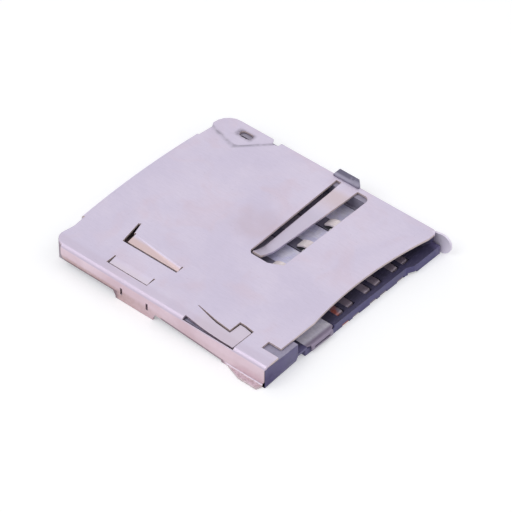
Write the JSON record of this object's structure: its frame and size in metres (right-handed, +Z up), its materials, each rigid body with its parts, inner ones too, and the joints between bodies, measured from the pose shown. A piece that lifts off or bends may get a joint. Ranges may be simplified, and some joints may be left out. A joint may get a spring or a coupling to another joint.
{
  "type": "sim card socket",
  "caption": "Low surface-mount card socket: stamped metal cover over a moulded base with sprung contacts and a push-push ejector slider.",
  "frame": {"origin": "middle of the base's underside, on the circuit board's surface", "axes": "+Z up from the board, +Y the way the card goes in, +X towards the side without the ejector"},
  "size_m": [0.0167, 0.0183, 0.0017],
  "materials": {
    "cover_steel": "matte",
    "base_resin": "matte",
    "slider_resin": "matte",
    "contact_metal": "satin",
    "spring_steel": "satin"
  },
  "bodies": {
    "base": {"shell": "cover_steel", "housing": "base_resin", "contact_front_1": "contact_metal", "contact_front_2": "contact_metal", "contact_front_3": "contact_metal", "contact_rear_1": "contact_metal", "contact_rear_2": "contact_metal", "contact_rear_3": "contact_metal", "detect_terminal": "contact_metal", "detect_blade": "contact_metal", "eject_spring": "spring_steel"},
    "ejector": {"slider": "slider_resin"},
    "latch_pin": {"cam_pin": "spring_steel"}
  },
  "joints": [
    {"name": "slider_slide", "type": "slide", "parent": "base", "child": "ejector", "axis": [0, 1, 0], "range_m": [0, 0.0034], "stiffness_N_per_m": 200, "springref_m": -0.0012, "deforming": ["eject_spring"]},
    {"name": "pin_swing", "type": "hinge", "parent": "base", "child": "latch_pin", "pos_m": [-0.00689, -0.0076, 0.00122], "axis": [0, 0, -1], "range_deg": [0, 9.2]}
  ]
}
